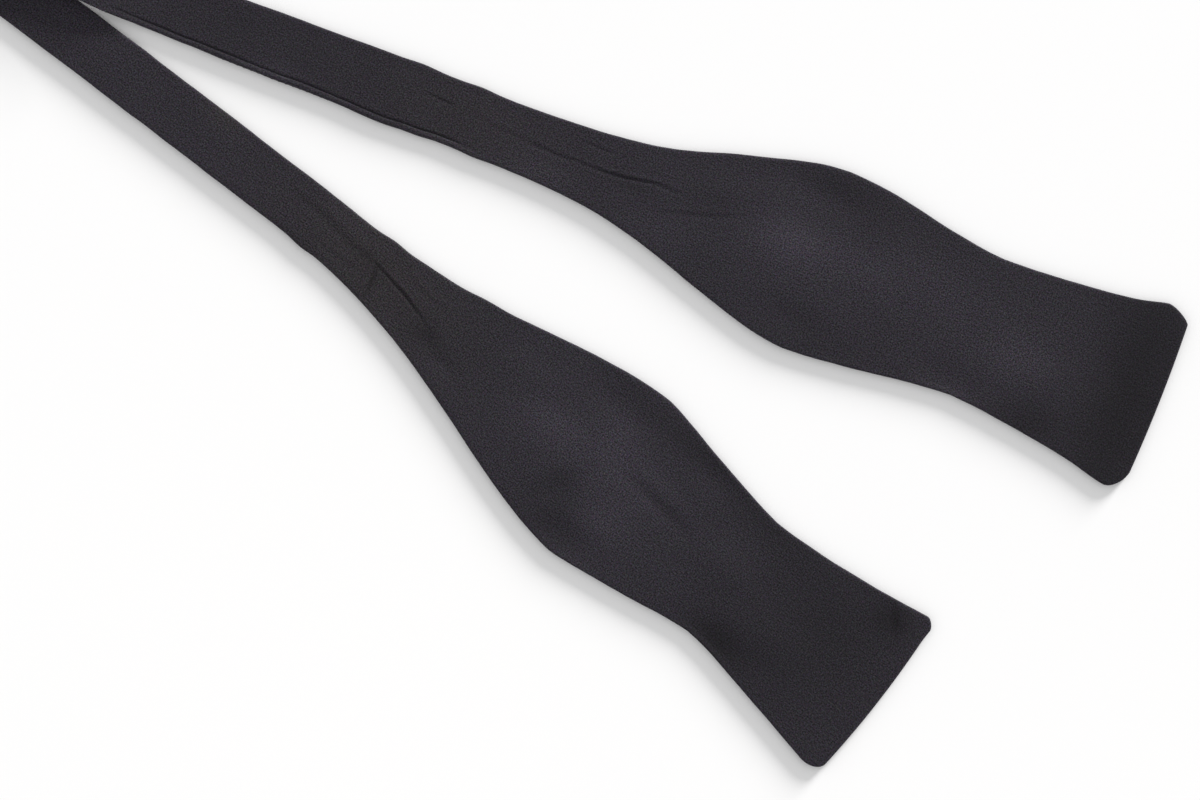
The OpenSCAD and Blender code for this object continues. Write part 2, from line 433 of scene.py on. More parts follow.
@dataclass(frozen=True)
class Canvas:
    """Plain-woven interlining canvas."""

    name: str = "interlining_canvas"
    slot: str = "interlining"
    light: tuple[float, float, float] = (0.52, 0.48, 0.39)
    dark: tuple[float, float, float] = (0.36, 0.32, 0.25)
    thread: float = 0.0007

    def make(self) -> Material:
        """Build the canvas's material.

        Returns:
            The node material.
        """
        mix = Recipe(self.name)
        uv = mix.node("UVMap", uv_map="cloth").outputs[0]
        warp, weft, _ = mix.threads(uv, math.pi / self.thread)
        weave = mix.fit(mix.sum("MULTIPLY", warp, weft), 0.5, 0.5)
        fleck = mix.noise(uv, 0.0016, 3.0)
        tone = mix.fit(fleck, 0.5, mix.sum("MULTIPLY", weave, 0.5))
        mix.surface(Base_Color=mix.ramp(tone, self.dark, self.light), Roughness=0.92)
        mix.bump(weave, 0.0001, 0.7)
        return mix.material


@dataclass(frozen=True)
class SewingThread:
    """Black twisted sewing thread."""

    name: str = "sewing_thread"
    slot: str = "thread"
    light: tuple[float, float, float] = (0.026, 0.024, 0.028)
    dark: tuple[float, float, float] = (0.009, 0.008, 0.010)
    twist: float = 0.00035

    def make(self) -> Material:
        """Build the thread's material.

        Returns:
            The node material.
        """
        mix = Recipe(self.name)
        place = mix.node("TexCoord").outputs["Object"]
        wave = mix.node("TexWave", bands_direction="DIAGONAL")
        mix.link(place, wave.inputs["Vector"])
        wave.inputs["Scale"].default_value = 0.3 / self.twist
        wave.inputs["Distortion"].default_value = 0.6
        colour = mix.ramp(wave.outputs[1], self.dark, self.light)
        mix.surface(Base_Color=colour, Roughness=0.55, Sheen_Weight=0.1)
        mix.bump(wave.outputs[1], 0.00005, 0.6)
        return mix.material


@dataclass(frozen=True)
class NickelledSteel:
    """Satin nickel over stamped steel, faintly rubbed."""

    name: str = "nickelled_steel"
    slot: str = "hardware"
    light: tuple[float, float, float] = (0.64, 0.62, 0.58)
    dark: tuple[float, float, float] = (0.48, 0.47, 0.45)
    roughness: float = 0.27

    def make(self) -> Material:
        """Build the metal's material.

        Returns:
            The node material.
        """
        mix = Recipe(self.name)
        place = mix.node("TexCoord").outputs["Object"]
        cloud = mix.noise(place, 0.004, 3.0)
        grain = mix.noise(mix.turned(place, 0.0, 0.06), 0.00015, 2.0)
        rough = mix.fit(cloud, 0.12, mix.fit(grain, 0.16, self.roughness - 0.08))
        mix.surface(Base_Color=mix.ramp(cloud, self.dark, self.light), Metallic=1.0, Roughness=rough)
        mix.bump(grain, 0.00001, 0.3)
        return mix.material


@dataclass(frozen=True)
class TableTop:
    """Plain white table."""

    name: str = "table_top"
    light: tuple[float, float, float] = (0.90, 0.90, 0.90)
    dark: tuple[float, float, float] = (0.88, 0.88, 0.885)

    def make(self) -> Material:
        """Build the table's material.

        Returns:
            The node material.
        """
        mix = Recipe(self.name)
        place = mix.node("TexCoord").outputs["Object"]
        cloud = mix.noise(place, 0.4, 1.0)
        colour = mix.ramp(cloud, self.dark, self.light)
        mix.surface(Base_Color=colour, Roughness=0.9, Specular_IOR_Level=0.1)
        return mix.material


# ---------------------------------------------------------------- cloth forms


@dataclass(frozen=True)
class RoundedEdge:
    """Edge of a sewn piece, from the seam's groove out and up to the face."""

    insets: tuple[float, ...]
    heights: tuple[float, ...]

    def height(self, index: Array) -> Array:
        """Return the share of the half thickness at each place in from the border."""
        shares = np.array(self.heights)
        return shares[np.clip(index, 0, len(shares) - 1)]


def unrolled(x: Array, y: Array, wall: Array) -> Array:
    """Lay a grid's rounded sides out flat, so that the weave runs over them at its own size.

    Args:
        x: Places along the piece.
        y: Places across the piece.
        wall: How far each point lies below the face.

    Returns:
        Flat coordinates of every point.
    """
    rows, columns = wall.shape
    r, c = np.arange(rows)[:, None], np.arange(columns)[None, :]
    along = np.where(r < rows / 2, -1.0, 1.0)
    across = np.where(c < columns / 2, -1.0, 1.0)
    beside = np.minimum(c, columns - 1 - c) <= np.minimum(r, rows - 1 - r)
    flat_x = x + along * wall * ~beside
    flat_y = y + across * wall * beside
    return np.stack(np.broadcast_arrays(flat_x, flat_y), axis=2).copy()


LEG_EDGE = RoundedEdge((0.18, 0.05, 0.0, 0.06, 0.24, 0.60), (0.0, 0.20, 0.45, 0.74, 0.94, 1.0))
CORE_EDGE = RoundedEdge((0.0, 0.3), (0.0, 1.0))
STRAP_EDGE = RoundedEdge((0.05, 0.0, 0.05, 0.22), (0.0, 0.45, 0.82, 1.0))


@dataclass
class ClothForm:
    """Closed piece of cloth: a top and a bottom grid that share their border."""

    name: str
    top: Array
    bottom: Array
    flat: Array
    shade: Array
    warmth: Array

    def build(self, material: Material, body: str | None, slot: str) -> Object:
        """Make the mesh object.

        Args:
            material: Finish of both faces.
            body: CAD body that it rides on, or None to leave it unattached.
            slot: Material slot of the record, not used.

        Returns:
            The new object, in metres.
        """
        rows, columns = self.top.shape[:2]
        upper = np.arange(rows * columns).reshape(rows, columns)
        inner = np.zeros((rows, columns), bool)
        inner[1:-1, 1:-1] = True
        lower = upper.copy()
        lower[inner] = rows * columns + np.arange(inner.sum())
        points = np.concatenate([self.top.reshape(-1, 3), self.bottom[inner]]) * MM
        flat = np.concatenate([self.flat.reshape(-1, 2), self.flat[inner]]) * MM
        # Painted shade and highlight of the top face; the bottom's own points are plain.
        painted_light_shade = np.concatenate([self.shade.ravel(), np.full(inner.sum(), 0.5)])
        faces = [self._quads(upper), self._quads(lower)[:, ::-1]]
        corners = np.concatenate(faces)
        mesh = bpy.data.meshes.new(self.name)
        mesh.from_pydata(points.tolist(), [], corners.tolist())
        layer = mesh.uv_layers.new(name="cloth")
        layer.data.foreach_set("uv", flat[corners.ravel()].ravel())
        warm = np.concatenate([self.warmth.ravel(), self.warmth[inner]])
        for name, values in (("shade", painted_light_shade), ("warmth", warm)):
            mesh.attributes.new(name, "FLOAT", "POINT").data.foreach_set("value", values)
        mesh.polygons.foreach_set("use_smooth", np.ones(len(corners), bool))
        mesh.update()
        made = add_object(self.name, mesh, material)
        if body is not None:
            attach(made, body)
        return made

    @staticmethod
    def _quads(index: Array) -> Array:
        """Return the four corners of each cell of a grid of vertex numbers."""
        cells = (index[:-1, :-1], index[1:, :-1], index[1:, 1:], index[:-1, 1:])
        return np.stack([cell.ravel() for cell in cells], axis=1)


@dataclass(frozen=True)
class Corner:
    """One corner of a square end: its length along, depth across and roundness."""

    along: float
    across: float
    power: float

    def cut(self, over: Array) -> Array:
        """Return how far the corner draws the border in, over mm past its start."""
        t = np.clip(over / self.along, 0.0, 1.0)
        return self.across * (1.0 - (1.0 - t**self.power) ** (1.0 / self.power))


@dataclass(frozen=True)
class Kink:
    """Small swelling of a leg's border."""

    x: float
    edge: int
    height: float
    reach: float


@dataclass(frozen=True)
class Crease:
    """Pressed-in line in the cloth with a low lip beside it and painted shade along it."""

    points: tuple[tuple[float, float], ...]
    depth: float
    width: float
    lip: float = 0.0
    # dark is the strength of the painted shade along the crease line.
    dark: float = 0.0
    tail: float = 0.04
    taper: float = 0.6
    lip_at: float = 1.7
    lip_w: float = 1.2
    painted_shade_w: float = 0.7

    def apply(self, x: Array, y: Array) -> tuple[Array, Array]:
        """Return the height and the painted shade that the crease adds.

        Args:
            x: Distances along the leg.
            y: Distances across the leg.

        Returns:
            Two arrays the shape of x: height in mm and change of painted shade.
        """
        best = np.full(x.shape, FAR)
        beside = np.zeros(x.shape)
        along = np.zeros(x.shape)
        lengths = [math.dist(a, b) for a, b in zip(self.points, self.points[1:])]
        total = sum(lengths)
        run = 0.0
        for (ax, ay), (bx, by), length in zip(self.points, self.points[1:], lengths):
            ux, uy = (bx - ax) / length, (by - ay) / length
            t = np.clip((x - ax) * ux + (y - ay) * uy, 0.0, length)
            dx, dy = x - ax - ux * t, y - ay - uy * t
            gap = np.hypot(dx, dy)
            near = gap < best
            best = np.where(near, gap, best)
            beside = np.where(near, ux * dy - uy * dx, beside)
            along = np.where(near, (run + t) / total, along)
            run += length
        strength = np.sin(np.pi * np.clip(along, self.tail, 1.0 - self.tail)) ** self.taper
        valley = np.exp(-((best / self.width) ** 2))
        off = best * np.sign(beside)
        ridge = np.exp(-(((off - self.lip_at * self.width) / (self.lip_w * self.width)) ** 2))
        height = strength * (self.lip * ridge - self.depth * valley)
        return height, -self.dark * strength * np.exp(-((best / (self.painted_shade_w * self.width)) ** 2))


@dataclass(frozen=True)
class Swell:
    """Soft rise or hollow in the padding."""

    x: float
    y: float
    long: float
    wide: float
    turn_deg: float
    height: float

    def apply(self, x: Array, y: Array) -> Array:
        """Return the height it adds at each point.

        Args:
            x: Distances along the leg.
            y: Distances across the leg.

        Returns:
            Heights in mm, the shape of x.
        """
        a = math.radians(self.turn_deg)
        u = (x - self.x) * math.cos(a) + (y - self.y) * math.sin(a)
        v = (y - self.y) * math.cos(a) - (x - self.x) * math.sin(a)
        return self.height * np.exp(-((u / self.long) ** 2) - (v / self.wide) ** 2)


@dataclass(frozen=True)
class Patch:
    """Soft-edged patch of painted light or shade (tone) in place of the shading of the padding's slopes, and
    of a warmer colour (warm).
    """

    x: float
    y: float
    long: float
    wide: float
    # tone above 0 is painted light and below 0 painted shade.
    tone: float = 0.0
    warm: float = 0.0
    turn_deg: float = 0.0

    def weight(self, x: Array, y: Array) -> Array:
        """Return how much of the patch there is at each point, from 0 to 1."""
        return Swell(self.x, self.y, self.long, self.wide, self.turn_deg, 1.0).apply(x, y)


@dataclass(frozen=True)
class LegPattern:
    """Outline of a leg, the same as the frame's, from the crossing to the square end."""

    band: float
    neck: float
    fold: float
    waist: float
    end: float
    bow: float
    spread_deg: float
    bow_start: float
    drift: float
    bulge_w: float = 63.5
    waist_w: float = 48.5
    end_w: float = 66.0
    turn_r: float = 160.0
    flare_late: float = 1.4
    waist_ease: float = 0.4
    end_late: float = 1.55
    bow_peak: float = 185.0
    bow_rise: float = 0.8
    bow_soft: float = 12.0
    drift_l: float = 120.0
    upper: Corner = Corner(7.0, 6.0, 1.5)
    lower: Corner = Corner(7.0, 7.0, 1.8)
    kinks: tuple[Kink, ...] = ()
    end_bow: float = 1.0
    end_bow_y: float = 0.0
    end_bow_l: float = 25.0

    def plain_half(self, x: Array) -> Array:
        """Return the half width before the corners are cut.

        Args:
            x: Distances along the leg.

        Returns:
            Half widths in mm.
        """
        flare = ease(np.clip((x - self.neck) / (self.fold - self.neck), 0, 1) ** self.flare_late)
        band = between(self.band, self.bulge_w, flare)
        t = np.clip((x - self.fold) / (self.waist - self.fold), 0, 1)
        bulge = between(self.bulge_w, self.waist_w, between(t, ease(t), self.waist_ease))
        t = np.clip((x - self.waist) / (self.end - self.waist), 0, 1)
        blade = between(self.waist_w, self.end_w, t**self.end_late)
        return np.where(x < self.fold, band, np.where(x < self.waist, bulge, blade)) / 2.0

    def border(self, x: Array, edge: int) -> Array:
        """Return the distance from the middle line to one border.

        Args:
            x: Distances from the crossing.
            edge: 1 for the upper border, -1 for the lower one.

        Returns:
            Distances, never negative.
        """
        corner = self.upper if edge > 0 else self.lower
        width = self.plain_half(x) - corner.cut(x - (self.end - corner.along))
        wander = 0.10 * lattice(x, 0 * x + 40.0 * edge, 9.0, 11) + 0.04 * lattice(x, 0 * x, 3.5, 12 + edge)
        width = width + wander * ease((self.end - 2.0 - x) / 10.0) * ease((x - 60.0) / 20.0)
        for kink in self.kinks:
            if kink.edge == edge:
                width = width + kink.height * np.exp(-(((x - kink.x) / kink.reach) ** 2))
        return width

    def _sharp_bow(self, x: Array) -> Array:
        """Return the bow before it is rounded.

        Args:
            x: Distances along the leg.

        Returns:
            Sideways distances in mm.
        """
        rise = np.clip((x - self.bow_start) / (self.bow_peak - self.bow_start), 0, 1) ** self.bow_rise
        fall = (np.clip(self.end - x, 0, None) / (self.end - self.bow_peak)) ** 2
        return self.bow * np.where(x < self.bow_peak, rise, fall)

    def middle(self, x: Array) -> tuple[Array, Array, Array, Array]:
        """Return the middle line and its sideways direction.

        Args:
            x: Distances from the crossing.

        Returns:
            Two coordinates of the line and two of the direction.
        """
        spread = math.radians(self.spread_deg)
        reach = self.turn_r * math.tan(spread / 2.0)
        soft = self.bow_soft
        bow = (self._sharp_bow(x - soft) + 2 * self._sharp_bow(x) + self._sharp_bow(x + soft)) / 4.0
        bow = bow - self.drift * ease((x - self.end) / self.drift_l + 1.0)
        if self.spread_deg == 0:
            return x, bow, 0 * x, 0 * x + 1.0
        a = spread * np.clip((x + reach) / (2 * reach), 0, 1)
        px = np.where(x <= -reach, x, self.turn_r * np.sin(a) - reach)
        py = np.where(x <= -reach, 0.0, self.turn_r * (np.cos(a) - 1.0))
        px = np.where(x >= reach, x * np.cos(a) + bow * np.sin(a), px)
        py = np.where(x >= reach, bow * np.cos(a) - x * np.sin(a), py)
        return px, py, np.sin(a), np.cos(a)


@dataclass
class Leg:
    """One leg of the tie: its sewn cloth and its canvas; its closing stitches are sewn by the whole tie."""

    name: str
    pattern: LegPattern
    start: float
    fold_joint: str
    inner_body: str
    outer_body: str
    creases: tuple[Crease, ...] = ()
    swells: tuple[Swell, ...] = ()
    patches: tuple[Patch, ...] = ()
    seam_from: float = 0.0
    seam_to: float = 0.0
    seam_inset: float = 2.15
    rumples: tuple[tuple[float, float], ...] = ((0.10, 26.0), (0.07, 11.0), (0.030, 4.5))
    pucker: float = 0.05
    groove_w: float = 0.30
    groove_depth: float = 0.30
    # Painted shade in the seam's groove and a painted highlight on the welt beside it.
    groove_painted_shade: float = 0.34
    welt_in: float = 1.15
    welt_w: float = 0.55
    welt_rise: float = 0.12
    welt_painted_highlight: float = 0.05
    # Painted highlight along the border, lifting the rounded side wall that the low key leaves in shade.
    rim_painted_highlight: float = 0.30
    crossing: float = 30.0
    half_t: float = 1.1
    bare_half_t: float = 0.34
    off_table: float = 0.03
    lean_deg: float = 0.6
    core_t: float = 0.45
    core_inset: float = 1.5
    step: float = 0.85
    roll_step: float = 0.375
    seam_columns: tuple[float, ...] = (1.55, 1.85, 2.05, 2.25, 2.45, 2.75, 3.2)
    hem_columns: tuple[float, ...] = (1.6, 2.4)
    cloth_columns: int = 46
    core_coarse: float = 3.5
    core_columns: int = 16
    fold_roll: float = 4.5
    ramp: tuple[float, float, float] | None = None
    seed: int = 1

    def _stations(self, edge: RoundedEdge, step: float, fine: float) -> tuple[Array, Array]:
        """Return the rows along the leg and where each measures its width.

        Args:
            edge: Edge at both ends.
            step: Distance between two rows.
            fine: Distance between two rows at the blade's fold.

        Returns:
            Two arrays: places, and places with the undercut rows kept on the border.
        """
        insets = np.array(edge.insets)
        last = self.pattern.end
        fold = self.pattern.fold
        reach = max(self.pattern.upper.along, self.pattern.lower.along)
        body = np.arange(self.start + insets.max() + step, fold - 0.5, step)
        roll = np.arange(fold, fold + self.fold_roll + 0.1, fine)
        blade = np.arange(roll[-1] + step, last - reach - 0.3, step)
        turn = last - reach + (reach - insets.max() - 0.25) * np.sin(np.radians(np.arange(0, 91, 9)))
        held = np.concatenate([body, roll, blade, turn])
        x = np.concatenate([self.start + insets, held, (last - insets)[::-1]])
        outer = np.where(np.arange(len(insets)) < np.argmin(insets), 0.0, insets)
        wide = np.concatenate([self.start + outer, held, (last - outer)[::-1]])
        return x, wide

    def _lift(self, x: Array) -> tuple[Array, Array]:
        """Return the height of the middle plane and the half thickness along the leg.

        Args:
            x: Distances along the leg.

        Returns:
            Heights and half thicknesses in mm.
        """
        level = self.half_t + self.off_table
        height = 0 * x + level
        half = 0 * x + self.half_t
        if self.ramp is not None:
            strap_z, top, foot = self.ramp
            t = ease((x - top) / (foot - top))
            lean = strap_z - (x - self.start) * math.tan(math.radians(self.lean_deg))
            half = between(self.bare_half_t, self.half_t, ease((x - self.start - 6.0) / 34.0))
            height = between(lean, level, t)
        return height, half

    def _relief(self, x: Array, y: Array, depth: Array) -> tuple[Array, Array]:
        """Return the height of creases, padding and sewing, with their painted shade and highlight.

        Args:
            x: Distances along the leg.
            y: Distances across the leg, from the middle line.
            depth: Distances in from the border.

        Returns:
            Height in mm and painted shade, where 0.5 is plain, less is painted shade and more is painted
            highlight.
        """
        s = self.seed
        height, shade = 0 * x, 0 * x + 0.5
        for i, (rise, size) in enumerate(self.rumples):
            height = height + rise * lattice(x, y, size, s + i)
        for swell in self.swells:
            height = height + swell.apply(x, y)
        for crease in self.creases:
            rise, painted_light_shade = crease.apply(x, y)
            height = height + rise
            shade = shade + painted_light_shade
        # Patches paint light and shade where slopes of the padding would turn towards and away from the low
        # key.
        for patch in self.patches:
            shade = shade + patch.tone * patch.weight(x, y)
        height = height * ease(depth / 2.5)
        pucker = np.exp(-(((depth - 1.5) / 1.3) ** 2)) * lattice(x, 0 * y + 9.0 * np.sign(y), 3.2, s + 3)
        height = height + self.pucker * pucker
        if self.seam_to > self.seam_from:
            low = np.where(y < 0, depth, FAR)
            live = ease((x - self.seam_from) / 6.0) * ease((self.seam_to - x) / 14.0)
            wander = self.seam_inset + 0.18 * lattice(x, 0 * x, 14.0, s + 4)
            groove = np.exp(-(((low - wander) / self.groove_w) ** 2))
            welt = np.exp(-(((low - self.welt_in) / self.welt_w) ** 2))
            height = height + live * (self.welt_rise * welt - self.groove_depth * groove)
            # Painted shade in the seam's groove and a painted highlight on the welt beside it.
            shade = shade + live * (self.welt_painted_highlight * welt - self.groove_painted_shade * groove)
        # Painted highlight along the border, lifting the rounded side wall that the low key leaves in shade.
        rim = np.exp(-((depth / self.welt_w) ** 2))
        return height, shade + self.rim_painted_highlight * rim

    def _grid(
        self, edge: RoundedEdge, inset: float, step: float, fine: float, inner: int, half_t: float | None
    ) -> tuple[Array, ...]:
        """Lay a grid of points over the leg.

        Args:
            edge: Edge all round.
            inset: Distance of the form's border from the leg's border.
            step: Distance between two rows.
            fine: Distance between two rows at the fold.
            inner: Number of columns between the edges.
            half_t: Half thickness of the form, or None for the leg's own.

        Returns:
            Top points, bottom points, flat coordinates, shade and warmth.
        """
        pattern = self.pattern
        x, wide = self._stations(edge, step, fine)
        if inset:
            x = np.clip(x, self.start + inset, pattern.end - inset)
            keep = np.concatenate([[True], np.diff(x) > 1e-6])
            x, wide = x[keep], np.clip(wide[keep], self.start + inset, pattern.end - inset)
        insets = np.array(edge.insets) + inset
        low = -pattern.border(wide, -1)[:, None]
        high = pattern.border(wide, 1)[:, None]
        seams = np.array([] if inset else self.seam_columns)
        hems = np.array([] if inset else self.hem_columns)
        first = low + np.concatenate([insets, seams])[None, :]
        last = high - np.concatenate([insets, hems])[::-1][None, :]
        share = (np.arange(inner) + 1.0) / (inner + 1.0)
        mid = first[:, -1:] + (last[:, :1] - first[:, -1:]) * share[None, :]
        y = np.concatenate([first, mid, last], axis=1)
        rows, columns = y.shape
        r = np.minimum(np.arange(rows), np.arange(rows)[::-1])[:, None]
        c = np.minimum(np.arange(columns), np.arange(columns)[::-1])[None, :]
        share_t = edge.height(np.minimum(r, c))
        depth = np.minimum(np.minimum(y - low, high - y), (pattern.end - x)[:, None])
        depth = np.clip(depth, 0.0, None)
        xs = np.repeat(x[:, None], columns, axis=1)
        height, half = self._lift(x)
        thick = half[:, None] if half_t is None else np.minimum(half_t, half - 0.2)[:, None]
        relief, shade = self._relief(xs, y, depth)
        thin = (half / self.half_t)[:, None]
        px, py, sx, sy = pattern.middle(x)
        round_out = np.clip(1.0 - ((y - pattern.end_bow_y) / (pattern.end_w / 2.0)) ** 2, 0.0, 1.0)
        push = pattern.end_bow * round_out * ease((xs - pattern.end) / pattern.end_bow_l + 1.0)
        ax = self.crossing + px[:, None] + sx[:, None] * y + sy[:, None] * push
        ay = py[:, None] + sy[:, None] * y - sx[:, None] * push
        spot = PLACES.world(ax, ay)
        top = height[:, None] + thick * share_t + relief * share_t * thin
        bottom = height[:, None] - thick * share_t
        flat = unrolled(xs, y, (1.0 - share_t) * thick)
        tops = np.concatenate([spot, top[:, :, None]], axis=2)
        bottoms = np.concatenate([spot, bottom[:, :, None]], axis=2)
        warmth = sum((patch.warm * patch.weight(xs, y) for patch in self.patches), np.zeros(xs.shape))
        return tops, bottoms, flat, shade, warmth

    def sew_faces(self, cloth: Material, slot: str, replaced: tuple[str, ...]) -> Object:
        """Make the leg's outer cloth, front and back sewn at the border.

        Args:
            cloth: Material of the faces.
            slot: Material slot of the record, not used: the build that it is passed to ignores it.
            replaced: CAD nodes that the cloth stands for.

        Returns:
            The cloth.
        """
        grid = self._grid(LEG_EDGE, 0.0, self.step, self.roll_step, self.cloth_columns, None)
        made = ClothForm(f"{self.name}_cloth", *grid).build(cloth, None, slot)
        return self._join(made, replaced)

    def cut_canvas(self, canvas: Material, slot: str, replaced: tuple[str, ...]) -> Object:
        """Make the interlining inside the leg.

        Args:
            canvas: Material of the canvas.
            slot: Material slot of the record, not used: the build that it is passed to ignores it.
            replaced: CAD nodes that the canvas stands for.

        Returns:
            The canvas.
        """
        step, fine = self.step * self.core_coarse, self.roll_step * 2
        grid = self._grid(CORE_EDGE, self.core_inset, step, fine, self.core_columns, self.core_t)
        made = ClothForm(f"{self.name}_canvas", *grid).build(canvas, None, slot)
        return self._join(made, replaced)

    def _join(self, made: Object, replaced: tuple[str, ...]) -> Object:
        """Hide the CAD nodes that a sheet stands for and bake its placement into its mesh.

        Args:
            made: The sheet.
            replaced: CAD nodes that it stands for.

        Returns:
            The same sheet.
        """
        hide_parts(*replaced)
        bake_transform(made)
        widths = self.pattern.plain_half(np.linspace(self.start, self.pattern.end, 400)) * 2.0
        return made


@dataclass
class Places:
    """Places that the frame gives: the ring's axis and the joints."""

    joints: dict[str, dict] = field(default_factory=lambda: {j["name"]: j for j in frame["joints"]})

    @property
    def origin(self) -> tuple[float, float]:
        """Ring axis on the table, in mm."""
        x, y, _ = self.joints["ring_fold"]["pos_m"]
        return x / MM, y / MM

    def world(self, x: Array, y: Array) -> Array:
        """Return places measured from the ring's axis as places in the frame, in mm."""
        ox, oy = self.origin
        return np.stack([x + ox, y + oy], axis=-1)


PLACES = Places()


@dataclass
class Ribbon:
    """Flat strap that follows a path in an upright plane."""

    name: str
    path: Array
    width: float = 20.0
    thickness: float = 0.6
    columns: int = 15

    def length(self) -> float:
        """Return the length of the path."""
        return float(np.hypot(*np.diff(self.path, axis=0).T).sum())

    def lay(self, origin: tuple[float, float, float], lean: float) -> ClothForm:
        """Lay the strap's grid along its path.

        Args:
            origin: Place of the path's zero, in mm.
            lean: Downward lean of the path in degrees.

        Returns:
            The form, ready to be built.
        """
        insets = np.array(STRAP_EDGE.insets)
        step = np.hypot(*np.diff(self.path, axis=0).T)
        run = np.concatenate([[0.0], np.cumsum(step)])
        held = run[(run > insets.max() + 0.05) & (run < run[-1] - insets.max() - 0.05)]
        marks = np.concatenate([insets, held, (run[-1] - insets)[::-1]])
        (px, pz), ahead, behind = (
            [np.interp(marks + shift, run, self.path[:, k]) for k in (0, 1)] for shift in (0.0, 0.1, -0.1)
        )
        tx, tz = ahead[0] - behind[0], ahead[1] - behind[1]
        size = np.hypot(tx, tz)
        nx, nz = -tz / size, tx / size
        half = self.width / 2.0
        face = np.linspace(-half + 1.0, half - 1.0, self.columns)
        y = np.concatenate([-half + insets, face, (half - insets)[::-1]])
        rows, columns = len(marks), len(y)
        r = np.minimum(np.arange(rows), np.arange(rows)[::-1])[:, None]
        c = np.minimum(np.arange(columns), np.arange(columns)[::-1])[None, :]
        share = STRAP_EDGE.height(np.minimum(r, c)) * self.thickness / 2.0
        a = math.radians(lean)
        ox, oy, oz = origin
        wy = oy + np.repeat(y[None, :], rows, axis=0)
        grids = []
        for sign in (1.0, -1.0):
            gx = px[:, None] + sign * nx[:, None] * share
            gz = pz[:, None] + sign * nz[:, None] * share
            wx = ox + gx * math.cos(a) + gz * math.sin(a)
            wz = oz - gx * math.sin(a) + gz * math.cos(a)
            grids.append(np.stack([wx, wy, wz], axis=2))
        flat = unrolled(marks[:, None], y[None, :], self.thickness / 2.0 - share)
        plain = np.zeros((rows, columns))
        return ClothForm(self.name, grids[0], grids[1], flat, plain + 0.5, plain)


def arc(cx: float, cz: float, radius: float, start_deg: float, end_deg: float, count: int) -> Array:
    """Return points on an arc in the upright plane."""
    a = np.radians(np.linspace(start_deg, end_deg, count))
    return np.stack([cx + radius * np.cos(a), cz + radius * np.sin(a)], axis=1)


def line(x0: float, z0: float, x1: float, z1: float, step: float) -> Array:
    """Return points on a straight run in the upright plane."""
    count = max(2, int(math.hypot(x1 - x0, z1 - z0) / step) + 1)
    return np.stack([np.linspace(x0, x1, count), np.linspace(z0, z1, count)], axis=1)


